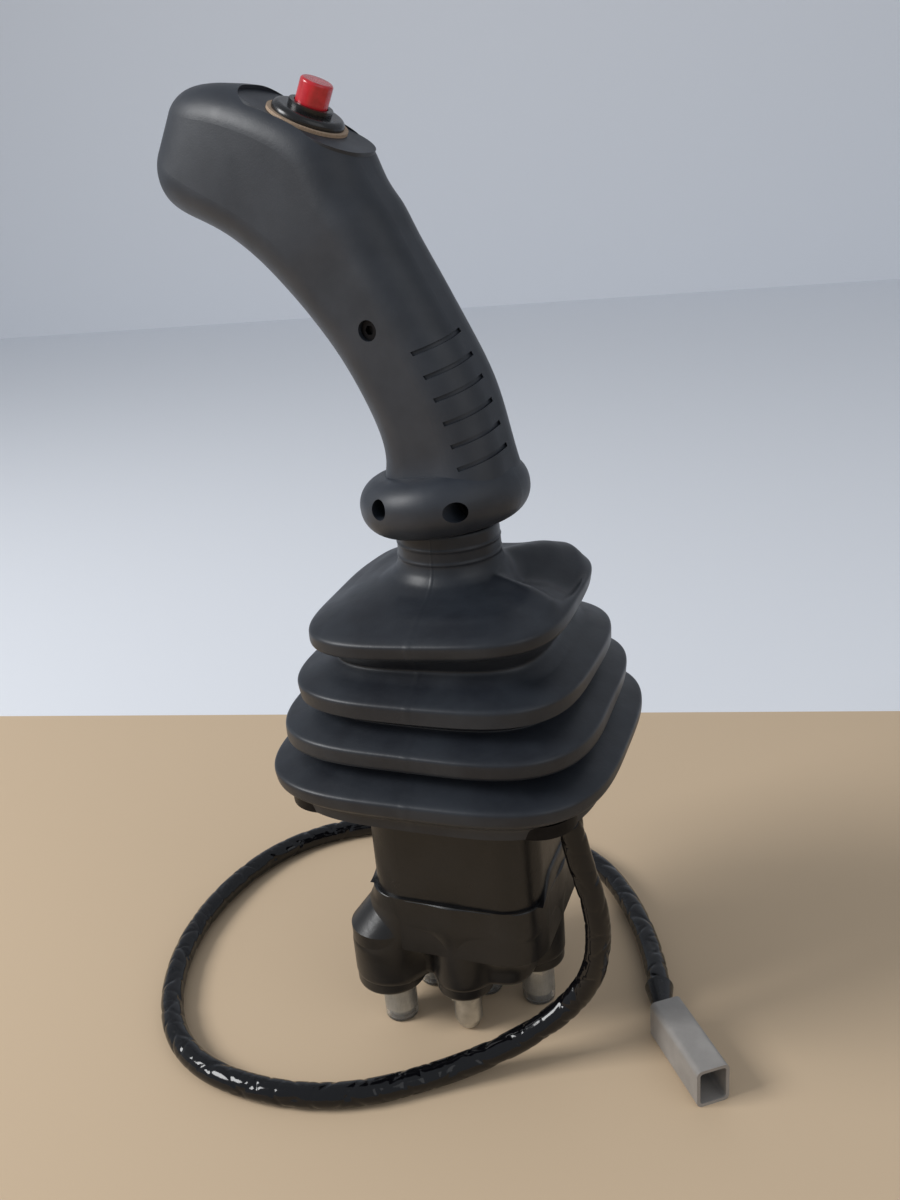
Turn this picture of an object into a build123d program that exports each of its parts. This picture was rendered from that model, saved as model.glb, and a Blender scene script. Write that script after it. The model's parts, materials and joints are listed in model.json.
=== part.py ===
from build123d import *
from math import cos, pi, radians, sin, sqrt, tan
import os

# Hydraulic pilot joystick valve. Millimetres, +Z up, origin on the valve's axis at the
# underside of its mounting plate. The head of the grip overhangs towards -X.

# ---------------------------------------------------------------- driving sizes
FLOOR_Z = -114.0            # surface that the capped port fittings stand on
BOLT_SPACING = 85.0         # square pattern of the mounting holes
MOUNT_HOLE_D = 6.6
PLATE_SIDE = 107.0
PLATE_T = 5.0
PLATE_CORNER_R = 14.0

CASING_SIDE = 68.0
CASING_CORNER_R = 15.0
CASING_H = 47.5
CASING_EDGE_R = 1.2
BLOCK_LIP = 1.0             # port block stands proud of the casing by this much
BLOCK_SLAB_H = 24.0         # full-section height of the port block
LOBE_BOTTOM_Z = -93.5
LOBE_D = 23.0
SUPPLY_LOBE_D = 28.0
FLARE_OUT = 2.0             # the supply lobe stands out from its port by this much
FLARE_TOP_D = 22.0
FLARE_TOP_SHARE = 0.72      # the flare's top as a part of its port's distance
TANK_LOBE_D = 20.0
LOBE_EDGE_R = 2.0
SUPPLY_PORT_XY = (-29.5, -23.5)

STATION_R = 23.0            # push rods, spools and control ports lie on this radius
TILT_LIMIT = 17.0           # degrees, each way, about both axes
PIVOT_Z = 22.0
ROD_RATE = 24.0             # travel of a push rod per radian of tilt
ROD_GAP = 1.0               # rest gap between the rods and the swash disc

FIT = 0.05                  # radial clearance of a running fit
LOOSE = 0.3                 # radial clearance of a loose or bolted fit
SEAT = 0.3                  # gap at rest between a soft part and its seat
END_GAP = 0.2               # gap at the blind end of a bore

# ---------------------------------------------------------------- small sizes
ROD_D = 8.0
ROD_HEAD_D = 15.0
ROD_HEAD_T = 3.0
ROD_HEAD_DROP = 22.0        # top of the rod's head below the mounting face
GUIDE_D = 19.6
GUIDE_H = 13.0
GUIDE_NOSE_D = 13.0
GUIDE_NOSE_H = 7.0
CHAMBER_D = 20.0
SPRING_ROOM = 13.9          # height left for the return spring at full stroke
SPOOL_D = 7.0
SPOOL_HEAD_D = 9.5
SPOOL_HEAD_T = 2.5
SPOOL_TOP_DROP = 37.0
SPOOL_LENGTH = 44.0
SPOOL_GROOVE_D = 5.0
SPRING_WIRE_D = 1.6
SPRING_D = 16.5
SPRING_TURNS = 4.5
METERING_WIRE_D = 1.0
METERING_SPRING_D = 8.6
METERING_TURNS = 4.0

JOINT_BOLT_R = 24.75        # bolts that hold casing and port block together
JOINT_BOLT_D = 6.0
JOINT_BOLT_HEAD_D = 10.0
JOINT_BOLT_HEAD_H = 6.0
JOINT_BOLT_L = 62.0
PLATE_SCREW_R = 34.6
PLATE_SCREW_D = 5.0
PLATE_SCREW_HEAD_D = 9.4
PLATE_SCREW_L = 18.0
SOCKET_SHARE = 0.48         # circumradius of a hexagon socket as a part of the thread
WIPER_T = 2.0
SEAL_W = 1.5
SEAL_T = 0.6
SEAL_INSET = 2.5
SPOOL_GROOVES = (16.0, 30.0)
SPOOL_GROOVE_W = 6.0

YOKE_STUD_D = 12.0
YOKE_STUD_L = 14.0
YOKE_D = 24.0
YOKE_BASE_T = 4.0
YOKE_EAR_T = 5.0
YOKE_EAR_W = 10.0
YOKE_CLEAR = 11.5           # from the pivot to the floor of each fork
CROSS_SIDE = 12.0
CROSS_PIN_D = 6.0
DISC_D = 60.0
DISC_BORE_D = 34.0
DISC_RIM_T = 4.0
DISC_OFFSET = 1.0           # underside of the disc above the pivot
DISC_HUB_D = 24.0
DISC_HUB_H = 18.0
DISC_WALL = 4.0
STUD_REACH = 5.0            # stud above the lock nut, inside the foot of the shaft
EAR_INSET = 0.6
YOKE_FOOT_AF = 16.0
LOCK_NUT_AF = 24.0
LOCK_NUT_H = 7.0
SHAFT_D = 14.0
SHAFT_BORE_D = 7.0
SHAFT_TOP_Z = 150.0
SHAFT_FOOT_D = 18.0
SHAFT_FOOT_H = 14.0
CABLE_HOLE_D = 6.4
CABLE_HOLE_RISE = 24.0
NECK_BUSH_D = 27.0
NECK_BUSH_Z = 76.0
NECK_BUSH_H = 13.6

BOOT_LEVELS = ((0.0, 58.0), (4.0, 58.5), (7.5, 64.0), (13.5, 64.0), (18.5, 52.0), (22.0, 58.8),
               (29.0, 58.8), (34.0, 47.0), (37.5, 53.2), (44.5, 53.2), (50.5, 40.5), (54.5, 47.5),
               (60.5, 47.5))
BOOT_TOP_Z = 89.0
BOOT_NECK_D = 34.0
BOOT_NECK_Z = 78.0
BOOT_WALL = 3.0
BOOT_CORNER = 0.42          # corner radius of each ring as a part of its half side

GRIP_YAW = -10.0            # the grip is clocked on the lever
GRIP_WIDTH = 37.0
GRIP_WALL = 3.0
GRIP_ROUND = 0.8            # corner radius of a section as a part of its half width
# x, z, slope of the section, half depth, share of the grip's half width
GRIP_STATIONS = ((3.2, 103.0, 7, 25.0, 1.26), (3.3, 110.5, 9, 23.8, 1.08),
                 (3.1, 116.0, 12, 22.8, 1.0), (2.2, 126.5, 20, 21.5, 0.97),
                 (-4.2, 145.2, 25, 21.0, 0.97), (-12.2, 160.0, 29, 21.0, 0.97),
                 (-21.7, 175.0, 33, 22.0, 0.97), (-32.0, 189.8, 34, 24.0, 1.0),
                 (-43.0, 203.5, 33, 27.0, 1.0), (-57.0, 214.5, 33, 29.5, 1.0),
                 (-70.0, 220.3, 40, 27.8, 0.98), (-80.5, 224.2, 48, 25.0, 0.93),
                 (-88.5, 227.0, 54, 21.5, 0.82), (-94.0, 229.5, 57, 17.5, 0.64),
                 (-97.3, 231.0, 60, 12.5, 0.42))
HEAD_EDGE_R = 2.5
GROOVE_W = 1.5
GROOVE_DEPTH = 0.9
GROOVE_FALL = 4.7           # each groove rises by this much from its side end to the parting line
# side end (x, z) and the reach in x up to the parting line
GROOVES = ((5.7, 156.5, 5.9), (9.4, 148.8, 6.1), (12.1, 141.4, 6.6),
           (14.7, 133.6, 7.6), (16.7, 126.0, 8.8), (17.8, 118.4, 10.1))
CAVITY_X = (-90.0, 0.0)     # the hollow of the grip lies between these
CAVITY_Z = (117.0, 223.0)
COLLAR_D = 61.0
COLLAR_H = 21.0
COLLAR_Z = 104.0
COLLAR_LEAN = 7.0
PANEL_LEAN = 28.0           # the top panel falls towards the palm side
PANEL_X = -41.0
PANEL_Z = 229.5
PANEL_L = 50.0
PANEL_W = 29.5
PANEL_T = 2.5
PANEL_FLAT = 2.0            # half of the straight length at each end of the panel

CAP_D = 11.2
CAP_H = 8.3
CAP_SINK = 0.7              # the cap starts this far down inside the bushing
CAP_TRAVEL = 2.5
BUSHING_D = 15.0
BUSHING_H = 1.8
FLANGE_D = 25.0
FLANGE_H = 2.6
WASHER_D = 28.0
WASHER_T = 1.0
BARREL_D = 12.0
BARREL_L = 24.0
STEM_D = 5.0
STEM_REACH = 6.0            # stem below the panel's face
STEM_ROOM = 1.5
SWITCH_NUT_AF = 15.0
SWITCH_NUT_H = 3.0

COLLAR_SCREW_HALF = 0.2254 * COLLAR_D
COLLAR_SCREW_X = 4.25
COLLAR_SCREW_Z = COLLAR_Z + 1.5
GRIP_SCREWS = ((-13.6, 163.5), (COLLAR_SCREW_X - COLLAR_SCREW_HALF, COLLAR_SCREW_Z),
               (COLLAR_SCREW_X + COLLAR_SCREW_HALF, COLLAR_SCREW_Z))
GRIP_BOSS_D = 10.8
GRIP_SCREW_D = 3.5
GRIP_SCREW_HEAD_D = 6.4
GRIP_SCREW_L = 22.0
GRIP_SCREW_SINK = 5.0
HEAD_PLUG = (-99.5, 227.0)
HEAD_PLUG_D = 8.0
HEAD_PLUG_DEPTH = 13.0
HEAD_PLUG_SINK = 8.0
HEAD_PLUG_T = 6.0
HEAD_LEAN = 60.0            # lean of the head's face normal

FITTING_AF = 14.0
FITTING_HEX_H = 3.5
FITTING_STUD_D = 12.0
FITTING_STUD_L = 9.0
FITTING_THREAD_D = 11.4
FITTING_NOSE_D = 8.4
FITTING_L = 19.0            # from the lobe to the tip of the cone
FITTING_BORE_D = 4.5
CAP_PLUG_WALL = 1.1

CABLE_D = 9.5
GROMMET_XY = (46.0, -28.0)
GROMMET_D = 14.0
GROMMET_LIP_D = 15.0
GROMMET_LIP_T = 2.0
SHRINK_D = 11.5
SHRINK_L = 15.0
WIRE_D = 1.9
CONNECTOR_L = 38.0
CONNECTOR_W = 13.0
CONNECTOR_H = 16.5
CONNECTOR_REAR_XY = (77.0, -8.0)
CONNECTOR_YAW = -54.0
CONNECTOR_WALL = 1.3
CONNECTOR_FLOOR = 0.45      # shares of the connector's length
PIN_START = 0.31
RAMP_START = 0.62
RAMP_L = 0.26
RAMP_W = 5.0
RAMP_H = 2.1
PIN_D = 1.5
PIN_PITCH = (4.2, 5.2)
WEDGE = (7.8, 1.6, 7.0)

# ---------------------------------------------------------------- worked-out sizes
BLOCK_TOP_Z = -CASING_H
BLOCK_SIDE = CASING_SIDE + 2 * BLOCK_LIP
ROD_TOP_Z = PIVOT_Z + DISC_OFFSET - ROD_GAP
ROD_STROKE = ROD_RATE * radians(TILT_LIMIT)
CHAMBER_FLOOR_Z = -(ROD_HEAD_DROP + ROD_HEAD_T + ROD_STROKE + SPRING_ROOM)
DISC_TOP_Z = PIVOT_Z + DISC_OFFSET + DISC_HUB_H + DISC_WALL
STUD_TOP_Z = DISC_TOP_Z + LOCK_NUT_H + STUD_REACH
STATIONS = {"left": (-STATION_R, 0.0), "front": (0.0, -STATION_R),
            "right": (STATION_R, 0.0), "rear": (0.0, STATION_R)}
CABLE_Z = FLOOR_Z + CABLE_D / 2
CABLE_POINTS = ((46.0, -28.0, 6.0), (48.0, -29.0, -14.0), (59.0, -30.0, -50.0),
                (50.0, -26.0, -88.0), (12.0, -48.0, CABLE_Z), (-42.0, -84.0, CABLE_Z),
                (-112.0, -76.0, CABLE_Z),
                (-148.0, -4.0, CABLE_Z), (-134.0, 78.0, CABLE_Z), (-60.0, 114.0, CABLE_Z),
                (20.0, 104.0, CABLE_Z), (62.0, 46.0, CABLE_Z), (72.0, 8.0, FLOOR_Z + SHRINK_D / 2 + SEAT))


def save(shape, name):
    """Write one sub-part."""
    export_step(shape, f"parts/{name}.step")


def cyl(d, z0, z1, x=0.0, y=0.0):
    """A vertical cylinder between two heights."""
    return Pos(x, y, (z0 + z1) / 2) * Cylinder(d / 2, z1 - z0)


def square_prism(side, corner_r, z0, z1):
    """A vertical prism with a rounded square section."""
    return Pos(0, 0, z0) * extrude(RectangleRounded(side, side, corner_r), z1 - z0)


def hex_prism(across_flats, z0, z1, x=0.0, y=0.0):
    """A hexagon nut or head."""
    return Pos(x, y, z0) * extrude(RegularPolygon(across_flats / sqrt(3), 6), z1 - z0)


def ring_of(radius, first_angle=45.0, count=4):
    """Places on a circle."""
    for k in range(count):
        a = radians(first_angle + 360.0 * k / count)
        yield radius * cos(a), radius * sin(a)


def polar_profile(points):
    """Revolve an outline of radius and height about the Z axis."""
    face = make_face(Plane.XZ * Polyline(*points, close=True))
    return revolve(face, Axis.Z)


def join(shapes):
    """Fuse a list of shapes."""
    result = shapes[0]
    for shape in shapes[1:]:
        result += shape
    return result


# ---------------------------------------------------------------- valve body
def casing():
    """Upper body: four spring chambers, yoke thread and bolt holes."""
    body = square_prism(CASING_SIDE, CASING_CORNER_R, BLOCK_TOP_Z, 0)
    body = fillet(body.edges().group_by(Axis.Z)[-1], CASING_EDGE_R)
    for x, y in STATIONS.values():
        body -= cyl(CHAMBER_D, CHAMBER_FLOOR_Z, 1, x, y)
        body -= cyl(SPOOL_D + 2 * FIT, BLOCK_TOP_Z - 1, CHAMBER_FLOOR_Z + 1, x, y)
    body -= cyl(YOKE_STUD_D, -YOKE_STUD_L - 2, 1)
    for x, y in ring_of(JOINT_BOLT_R):
        body -= cyl(JOINT_BOLT_D + 2 * LOOSE, BLOCK_TOP_Z - 1, 1, x, y)
        body -= cyl(JOINT_BOLT_HEAD_D + 2 * LOOSE, -JOINT_BOLT_HEAD_H - 1, 1, x, y)
    for x, y in ring_of(PLATE_SCREW_R):
        body -= cyl(PLATE_SCREW_D, -PLATE_SCREW_L, 1, x, y)
    return body - body_seal()


def lobe(d, top, x, y):
    """Round boss under the port block with a rounded foot."""
    shape = cyl(d, LOBE_BOTTOM_Z, top, x, y)
    return fillet(shape.edges().group_by(Axis.Z)[0], LOBE_EDGE_R)


def port_block():
    """Lower casting: slab, four control lobes, tank lobe and the flared supply lobe."""
    slab_bottom = BLOCK_TOP_Z - BLOCK_SLAB_H
    shapes = [square_prism(BLOCK_SIDE, CASING_CORNER_R + BLOCK_LIP, slab_bottom, BLOCK_TOP_Z)]
    shapes += [lobe(LOBE_D, slab_bottom + 1, x, y) for x, y in STATIONS.values()]
    shapes.append(lobe(TANK_LOBE_D, slab_bottom + 1, 0, 0))
    px, py = SUPPLY_PORT_XY
    out = 1.0 + FLARE_OUT / sqrt(px * px + py * py)
    foot_z = slab_bottom + FLARE_OUT * 3
    flare = lobe(SUPPLY_LOBE_D, foot_z, px * out, py * out)
    top = Plane((px * FLARE_TOP_SHARE, py * FLARE_TOP_SHARE, BLOCK_TOP_Z - FLARE_OUT))
    bottom = Plane((px * out, py * out, foot_z))
    flare += loft([bottom * Circle(SUPPLY_LOBE_D / 2), top * Circle(FLARE_TOP_D / 2)])
    shapes.append(flare)
    body = join(shapes)
    for x, y in STATIONS.values():
        body -= cyl(SPOOL_D + 2 * FIT, LOBE_BOTTOM_Z + FITTING_STUD_L, BLOCK_TOP_Z + 1, x, y)
        body -= cyl(FITTING_STUD_D, LOBE_BOTTOM_Z - 1, LOBE_BOTTOM_Z + FITTING_STUD_L + 1, x, y)
    for x, y in ((0.0, 0.0), SUPPLY_PORT_XY):
        body -= cyl(FITTING_STUD_D, LOBE_BOTTOM_Z - 1, LOBE_BOTTOM_Z + FITTING_STUD_L + 1, x, y)
        body -= cyl(FITTING_BORE_D, LOBE_BOTTOM_Z, slab_bottom + 4, x, y)
    for x, y in ring_of(JOINT_BOLT_R):
        body -= cyl(JOINT_BOLT_D, -JOINT_BOLT_HEAD_H - JOINT_BOLT_L - 1, BLOCK_TOP_Z + 1, x, y)
    return body


def mounting_plate():
    """Square flange: panel bolts, casing screws, guide noses, yoke and cable holes."""
    plate = square_prism(PLATE_SIDE, PLATE_CORNER_R, 0, PLATE_T)
    half = BOLT_SPACING / 2
    for x, y in ((-half, -half), (half, -half), (half, half), (-half, half)):
        plate -= cyl(MOUNT_HOLE_D, -1, PLATE_T + 1, x, y)
    for x, y in ring_of(PLATE_SCREW_R):
        plate -= cyl(PLATE_SCREW_D + 2 * LOOSE, -1, PLATE_T + 1, x, y)
    for x, y in STATIONS.values():
        plate -= cyl(GUIDE_NOSE_D + 2 * LOOSE, -1, PLATE_T + 1, x, y)
    plate -= cyl(YOKE_STUD_D + 2 * LOOSE, -1, PLATE_T + 1)
    plate -= cyl(GROMMET_D, -1, PLATE_T + 1, *GROMMET_XY)
    return plate


def cap_screw(d, length, head_d, head_h):
    """Socket head screw, head underside at z = 0, shank down."""
    screw = cyl(d, -length, 0) + cyl(head_d, 0, head_h)
    screw -= Pos(0, 0, head_h / 2) * extrude(RegularPolygon(d * SOCKET_SHARE, 6), head_h)
    return screw


def joint_bolts():
    """Four cap screws sunk in the casing, threaded into the port block."""
    bolt = cap_screw(JOINT_BOLT_D, JOINT_BOLT_L, JOINT_BOLT_HEAD_D, JOINT_BOLT_HEAD_H)
    return Compound([Pos(x, y, -JOINT_BOLT_HEAD_H - 1) * bolt for x, y in ring_of(JOINT_BOLT_R)])


def plate_screws():
    """Four screws that hold the plate on the casing."""
    screw = cap_screw(PLATE_SCREW_D, PLATE_SCREW_L, PLATE_SCREW_HEAD_D, PLATE_SCREW_D * 0.6)
    return Compound([Pos(x, y, PLATE_T) * screw for x, y in ring_of(PLATE_SCREW_R)])


def guide(x, y):
    """Guide plug of one push rod, held down by the plate."""
    plug = cyl(GUIDE_D, -GUIDE_H, -FIT, x, y)
    plug += cyl(GUIDE_NOSE_D, -GUIDE_H, GUIDE_NOSE_H, x, y)
    plug -= cyl(ROD_D + 2 * FIT, -GUIDE_H - 1, GUIDE_NOSE_H + 1, x, y)
    return plug


def wiper(x, y):
    """Rod wiper seal on the nose of a guide."""
    ring = cyl(GUIDE_NOSE_D, GUIDE_NOSE_H, GUIDE_NOSE_H + WIPER_T, x, y)
    return ring - cyl(ROD_D + 2 * FIT, GUIDE_NOSE_H - 1, GUIDE_NOSE_H + WIPER_T + 1, x, y)


def push_rod(x, y):
    """Push rod with a domed top and the spring seat at its foot."""
    rod = cyl(ROD_D, -ROD_HEAD_DROP, ROD_TOP_Z, x, y)
    rod = fillet(rod.edges().group_by(Axis.Z)[-1], ROD_D / 2 - 0.6)
    return rod + cyl(ROD_HEAD_D, -ROD_HEAD_DROP - ROD_HEAD_T, -ROD_HEAD_DROP, x, y)


def spool(x, y):
    """Metering spool with two grooves."""
    top = -SPOOL_TOP_DROP
    shape = cyl(SPOOL_D, top - SPOOL_LENGTH, top, x, y)
    shape += cyl(SPOOL_HEAD_D, top - SPOOL_HEAD_T, top, x, y)
    half = SPOOL_GROOVE_W / 2
    for drop in SPOOL_GROOVES:
        z = top - drop
        land = cyl(SPOOL_D + 1, z - half, z + half, x, y)
        shape -= land - cyl(SPOOL_GROOVE_D, z - half - 1, z + half + 1, x, y)
    return shape


def coil(x, y, low, high, outside_d, wire_d, turns):
    """Open coil spring between two seats."""
    height = high - low - wire_d - 2 * FIT
    path = Helix(pitch=height / turns, height=height, radius=(outside_d - wire_d) / 2)
    section = Plane(origin=path @ 0, z_dir=path % 0) * Circle(wire_d / 2)
    return Pos(x, y, low + wire_d / 2 + FIT) * sweep(section, path=path, is_frenet=True)


def return_spring(x, y):
    """Return spring between the rod's head and the floor of its chamber."""
    rod_foot = -ROD_HEAD_DROP - ROD_HEAD_T
    return coil(x, y, CHAMBER_FLOOR_Z, rod_foot, SPRING_D, SPRING_WIRE_D, SPRING_TURNS)


def metering_spring(x, y):
    """Spring between the rod's head and the head of the spool."""
    rod_foot = -ROD_HEAD_DROP - ROD_HEAD_T
    return coil(x, y, -SPOOL_TOP_DROP, rod_foot, METERING_SPRING_D, METERING_WIRE_D, METERING_TURNS)


def body_seal():
    """Flat seal ring set in the joint between casing and port block."""
    outer_side = CASING_SIDE - 2 * SEAL_INSET
    inner_side = outer_side - 2 * SEAL_W
    corner = CASING_CORNER_R - SEAL_INSET
    outer = square_prism(outer_side, corner, BLOCK_TOP_Z, BLOCK_TOP_Z + SEAL_T)
    return outer - square_prism(inner_side, corner - SEAL_W, BLOCK_TOP_Z, BLOCK_TOP_Z + SEAL_T)


# ---------------------------------------------------------------- universal joint and lever
def fork(stud_d, stud_l, along_y):
    """Fork with two ears, pivot at the origin, base below."""
    base_z = -YOKE_CLEAR - YOKE_BASE_T
    shape = cyl(YOKE_D, base_z, -YOKE_CLEAR)
    ear_mid = (YOKE_D - YOKE_EAR_T) / 2 - EAR_INSET
    for side in (-1, 1):
        ear = Pos(0, side * ear_mid, -YOKE_CLEAR / 2) * Box(YOKE_EAR_W, YOKE_EAR_T, YOKE_CLEAR)
        round_top = Pos(0, side * ear_mid, 0) * Rot(90, 0, 0) * Cylinder(YOKE_EAR_W / 2, YOKE_EAR_T)
        shape += ear + round_top
    shape -= Rot(90, 0, 0) * Cylinder(CROSS_PIN_D / 2 + FIT, YOKE_D + 2)
    shape += cyl(stud_d, base_z - stud_l, base_z)
    return shape if along_y else Rot(0, 0, 90) * shape


def lower_yoke():
    """Fixed fork screwed through the plate into the casing."""
    stud_l = PIVOT_Z - YOKE_CLEAR - YOKE_BASE_T + YOKE_STUD_L
    yoke = Pos(0, 0, PIVOT_Z) * fork(YOKE_STUD_D, stud_l, True)
    foot = hex_prism(YOKE_FOOT_AF, PLATE_T, PIVOT_Z - YOKE_CLEAR - YOKE_BASE_T)
    return yoke + foot


def cross():
    """Cross of the universal joint with its four pins."""
    pin_l = YOKE_D - 2 * EAR_INSET - SEAT
    shape = Box(CROSS_SIDE, CROSS_SIDE, CROSS_SIDE)
    shape = fillet(shape.edges(), CROSS_SIDE / 8)
    shape += Rot(90, 0, 0) * Cylinder(CROSS_PIN_D / 2, pin_l)
    shape += Rot(0, 90, 0) * Cylinder(CROSS_PIN_D / 2, pin_l)
    return Pos(0, 0, PIVOT_Z) * shape


def upper_yoke():
    """Moving fork, hung over the cross, with the threaded stud for disc and shaft."""
    stud_l = STUD_TOP_Z - PIVOT_Z - YOKE_CLEAR - YOKE_BASE_T
    shape = Rot(180, 0, 0) * fork(YOKE_STUD_D, stud_l, False)
    return Pos(0, 0, PIVOT_Z) * shape


def swash_disc():
    """Bell-shaped swash disc screwed on the upper yoke."""
    low = PIVOT_Z + DISC_OFFSET
    fork_top = PIVOT_Z + YOKE_CLEAR + YOKE_BASE_T
    top = DISC_TOP_Z
    rim, bore, hub = DISC_D / 2, DISC_BORE_D / 2, DISC_HUB_D / 2
    outline = ((bore, low), (rim, low), (rim, low + DISC_RIM_T), (bore + DISC_WALL, low + DISC_RIM_T),
               (hub, fork_top + DISC_WALL), (hub, top), (YOKE_STUD_D / 2, top),
               (YOKE_STUD_D / 2, fork_top), (YOKE_D / 2 + 1, fork_top), (bore, low + DISC_RIM_T))
    return polar_profile(outline)


def lock_nut():
    """Hexagon lock nut above the disc."""
    low = DISC_TOP_Z
    nut = hex_prism(LOCK_NUT_AF, low, low + LOCK_NUT_H)
    return nut - cyl(YOKE_STUD_D, low - 1, low + LOCK_NUT_H + 1)


def lever_shaft():
    """Hollow lever that carries the grip."""
    low = DISC_TOP_Z + LOCK_NUT_H
    shaft = cyl(SHAFT_FOOT_D, low, low + SHAFT_FOOT_H) + cyl(SHAFT_D, low, SHAFT_TOP_Z)
    shaft -= cyl(YOKE_STUD_D, low - 1, STUD_TOP_Z)
    shaft -= cyl(SHAFT_BORE_D, low, SHAFT_TOP_Z + 1)
    hole = Rot(0, 60, 0) * Cylinder(CABLE_HOLE_D / 2, SHAFT_D)
    side_hole = Pos(SHAFT_D / 2, 0, low + CABLE_HOLE_RISE) * hole
    return shaft - side_hole


def neck_bush():
    """Bush on the shaft that the neck of the boot grips."""
    bush = cyl(NECK_BUSH_D, NECK_BUSH_Z, NECK_BUSH_Z + NECK_BUSH_H)
    return bush - cyl(SHAFT_D, NECK_BUSH_Z - 1, NECK_BUSH_Z + NECK_BUSH_H + 1)


def ring_section(half, z):
    """Rounded square outline of the boot at one height."""
    return Pos(0, 0, z) * RectangleRounded(2 * half, 2 * half, BOOT_CORNER * half)


def boot():
    """Rubber boot: skirt, three folds, top plate and neck, hollow inside."""
    outer = []
    inner = []
    for (z0, h0), (z1, h1) in zip(BOOT_LEVELS, BOOT_LEVELS[1:]):
        outer.append(loft([ring_section(h0, z0), ring_section(h1, z1)], ruled=True))
    last_z, last_half = BOOT_LEVELS[-1]
    neck = Pos(0, 0, BOOT_NECK_Z) * Circle(BOOT_NECK_D / 2)
    outer.append(loft([ring_section(last_half, last_z), neck]))
    outer.append(cyl(BOOT_NECK_D, BOOT_NECK_Z, BOOT_TOP_Z))
    seat = PLATE_SIDE + 2 * SEAT
    inner.append(square_prism(seat, PLATE_CORNER_R, -1, PLATE_T + SEAT))
    levels = [(PLATE_T + SEAT, seat / 2)]
    levels += [(z, half - BOOT_WALL) for z, half in BOOT_LEVELS[2:-1]]
    levels.append((last_z - BOOT_WALL, last_half - BOOT_WALL))
    for (z0, h0), (z1, h1) in zip(levels, levels[1:]):
        inner.append(loft([ring_section(h0, z0), ring_section(h1, z1)], ruled=True))
    inner_neck = Pos(0, 0, BOOT_NECK_Z - 1) * Circle(NECK_BUSH_D / 2 + SEAT)
    inner.append(loft([ring_section(levels[-1][1], levels[-1][0]), inner_neck]))
    inner.append(cyl(NECK_BUSH_D + 2 * SEAT, BOOT_NECK_Z - 2, BOOT_TOP_Z + 1))
    return join(outer) - join(inner)


# ---------------------------------------------------------------- grip
def in_grip(shape):
    """Turn a shape drawn in the grip's own frame to its place on the lever."""
    return Rot(0, 0, GRIP_YAW) * shape


def on_panel(shape):
    """Place a shape drawn about the panel's own axis on the top panel."""
    return in_grip(Pos(PANEL_X, 0, PANEL_Z) * Rot(0, PANEL_LEAN, 0) * shape)


def grip_section(station, inset):
    """Rounded section of the grip: centre, slope of its depth, half depth and half width."""
    x, z, slope, half_depth, share = station
    t = radians(slope)
    plane = Plane(origin=(x, 0, z), x_dir=(cos(t), 0, sin(t)), z_dir=(-sin(t), 0, cos(t)))
    depth, width = half_depth - inset, share * GRIP_WIDTH / 2 - inset
    return plane * RectangleRounded(2 * depth, 2 * width, GRIP_ROUND * width)


def grip_solid(inset=0.0):
    """Solid of the grip without its collar, optionally shrunk by a wall."""
    solid = loft([grip_section(station, inset) for station in GRIP_STATIONS])
    return fillet(solid.faces().sort_by(Axis.X)[0].edges(), HEAD_EDGE_R) if inset == 0 else solid


def collar():
    """Rounded collar at the foot of the grip."""
    shape = Cylinder(COLLAR_D / 2, COLLAR_H)
    shape = fillet(shape.edges(), COLLAR_H / 2 - 2 * END_GAP)
    return Pos(0, 0, COLLAR_Z) * Rot(0, -COLLAR_LEAN, 0) * shape


def rear_grooves():
    """Six shallow grooves on the left of the rear, from the side up to the parting line."""
    slabs = []
    for x, z, reach in GROOVES:
        width = GRIP_WIDTH / 2
        run = Vector(reach, width, GROOVE_FALL)
        across = Vector(1, 0, GROOVE_FALL / width)
        middle = (x + reach / 2, -width / 2, z + GROOVE_FALL / 2)
        plane = Plane(origin=middle, x_dir=run, z_dir=run.cross(across))
        slabs.append(plane * Box(run.length, width, GROOVE_W))
    return join(slabs) & (grip_solid() - grip_solid(GROOVE_DEPTH))


def panel_blank():
    """Plate of the top panel in its own frame, top face at z = 0."""
    return extrude(RectangleRounded(PANEL_L, PANEL_W, PANEL_W / 2 - PANEL_FLAT), -PANEL_T)


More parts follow.
